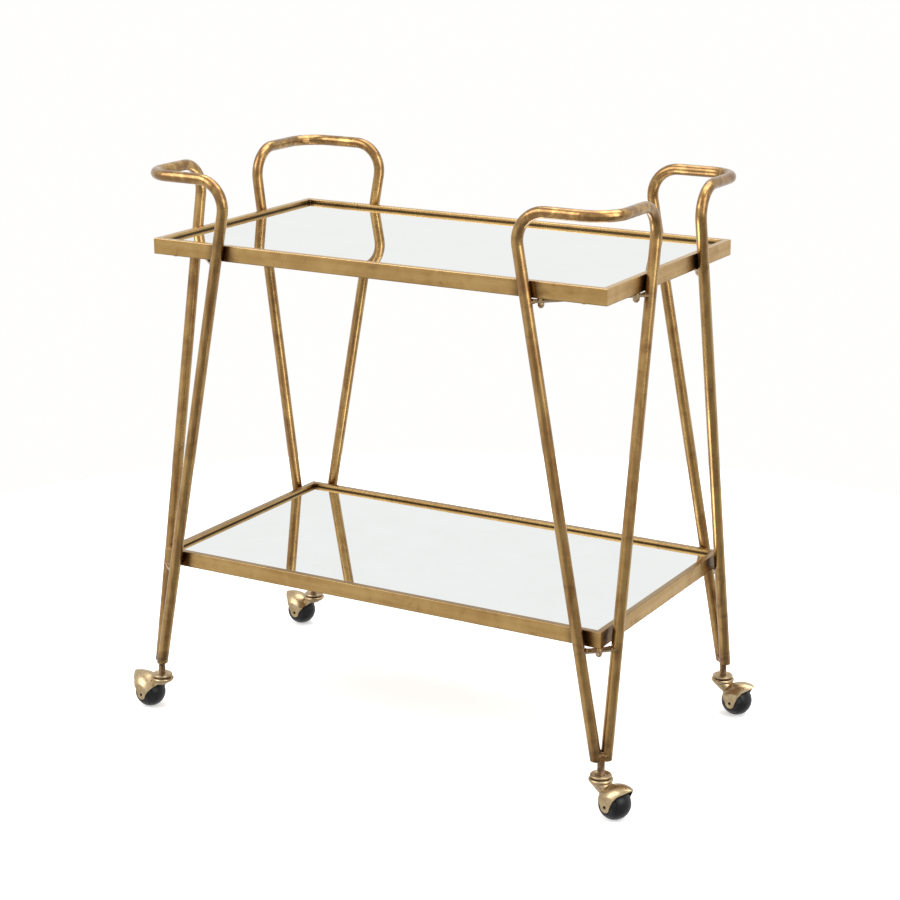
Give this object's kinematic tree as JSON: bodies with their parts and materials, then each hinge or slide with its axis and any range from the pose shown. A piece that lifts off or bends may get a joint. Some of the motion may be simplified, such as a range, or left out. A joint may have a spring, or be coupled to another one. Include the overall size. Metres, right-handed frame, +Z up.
{
  "type": "bar cart",
  "caption": "Two-tier bar cart with mirrored trays, V-shaped bent-tube legs that loop into corner handles, and hooded ball casters.",
  "frame": {"origin": "on the floor under the middle of the cart, at the centre of its outline", "axes": "+X along the long side of the trays, -Y towards the front, +Z up"},
  "size_m": [0.8967, 0.4974, 0.8705],
  "materials": {
    "rail_brass": "antique satin",
    "tube_brass": "antique, hand rubbed",
    "caster_brass": "antique satin",
    "bolt_brass": "antique satin",
    "stem_steel": "bronzed",
    "mirror_glass": "polished",
    "backing_board": "raw fibreboard",
    "ball_black": "satin"
  },
  "bodies": {
    "cart": {"top_rail_front": "rail_brass", "top_rail_right": "rail_brass", "top_rail_back": "rail_brass", "top_rail_left": "rail_brass", "top_mirror": "mirror_glass", "top_board": "backing_board", "top_ledge_front": "rail_brass", "top_ledge_back": "rail_brass", "bottom_rail_front": "rail_brass", "bottom_rail_right": "rail_brass", "bottom_rail_back": "rail_brass", "bottom_rail_left": "rail_brass", "bottom_mirror": "mirror_glass", "bottom_board": "backing_board", "bottom_ledge_front": "rail_brass", "bottom_ledge_back": "rail_brass", "leg_front_right": "tube_brass", "foot_insert_front_right": "tube_brass", "top_strap_front_right": "tube_brass", "bottom_strap_front_right": "tube_brass", "leg_front_left": "tube_brass", "foot_insert_front_left": "tube_brass", "top_strap_front_left": "tube_brass", "bottom_strap_front_left": "tube_brass", "leg_back_left": "tube_brass", "foot_insert_back_left": "tube_brass", "top_strap_back_left": "tube_brass", "bottom_strap_back_left": "tube_brass", "leg_back_right": "tube_brass", "foot_insert_back_right": "tube_brass", "top_strap_back_right": "tube_brass", "bottom_strap_back_right": "tube_brass", "top_strap_bolts": "bolt_brass", "bottom_strap_bolts": "bolt_brass", "strap_spacers": "bolt_brass", "rail_screws": "bolt_brass", "caster_stem_front_right": "stem_steel", "caster_cup_front_right": "caster_brass", "caster_stem_front_left": "stem_steel", "caster_cup_front_left": "caster_brass", "caster_stem_back_left": "stem_steel", "caster_cup_back_left": "caster_brass", "caster_stem_back_right": "stem_steel", "caster_cup_back_right": "caster_brass"},
    "swivel_front_right": {"caster_race_front_right": "caster_brass", "caster_hood_front_right": "caster_brass", "caster_axle_front_right": "stem_steel"},
    "wheel_front_right": {"caster_ball_front_right": "ball_black"},
    "swivel_front_left": {"caster_race_front_left": "caster_brass", "caster_hood_front_left": "caster_brass", "caster_axle_front_left": "stem_steel"},
    "wheel_front_left": {"caster_ball_front_left": "ball_black"},
    "swivel_back_left": {"caster_race_back_left": "caster_brass", "caster_hood_back_left": "caster_brass", "caster_axle_back_left": "stem_steel"},
    "wheel_back_left": {"caster_ball_back_left": "ball_black"},
    "swivel_back_right": {"caster_race_back_right": "caster_brass", "caster_hood_back_right": "caster_brass", "caster_axle_back_right": "stem_steel"},
    "wheel_back_right": {"caster_ball_back_right": "ball_black"}
  },
  "joints": [
    {"name": "swivel_front_right", "type": "hinge", "parent": "cart", "child": "swivel_front_right", "pos_m": [0.38965, -0.22065, 0.0525], "axis": [0, 0, 1], "continuous": true},
    {"name": "roll_front_right", "type": "hinge", "parent": "swivel_front_right", "child": "wheel_front_right", "pos_m": [0.41573, -0.22764, 0.024], "axis": [0.2588, 0.9659, 0], "continuous": true},
    {"name": "swivel_front_left", "type": "hinge", "parent": "cart", "child": "swivel_front_left", "pos_m": [-0.38965, -0.22065, 0.0525], "axis": [0, 0, 1], "continuous": true},
    {"name": "roll_front_left", "type": "hinge", "parent": "swivel_front_left", "child": "wheel_front_left", "pos_m": [-0.4165, -0.21783, 0.024], "axis": [-0.1045, -0.9945, 0], "continuous": true},
    {"name": "swivel_back_left", "type": "hinge", "parent": "cart", "child": "swivel_back_left", "pos_m": [-0.38965, 0.22065, 0.0525], "axis": [0, 0, 1], "continuous": true},
    {"name": "roll_back_left", "type": "hinge", "parent": "swivel_back_left", "child": "wheel_back_left", "pos_m": [-0.41663, 0.22159, 0.024], "axis": [-0.0349, -0.9994, 0], "continuous": true},
    {"name": "swivel_back_right", "type": "hinge", "parent": "cart", "child": "swivel_back_right", "pos_m": [0.38965, 0.22065, 0.0525], "axis": [0, 0, 1], "continuous": true},
    {"name": "roll_back_right", "type": "hinge", "parent": "swivel_back_right", "child": "wheel_back_right", "pos_m": [0.41639, 0.21689, 0.024], "axis": [0.1392, 0.9903, 0], "continuous": true}
  ]
}
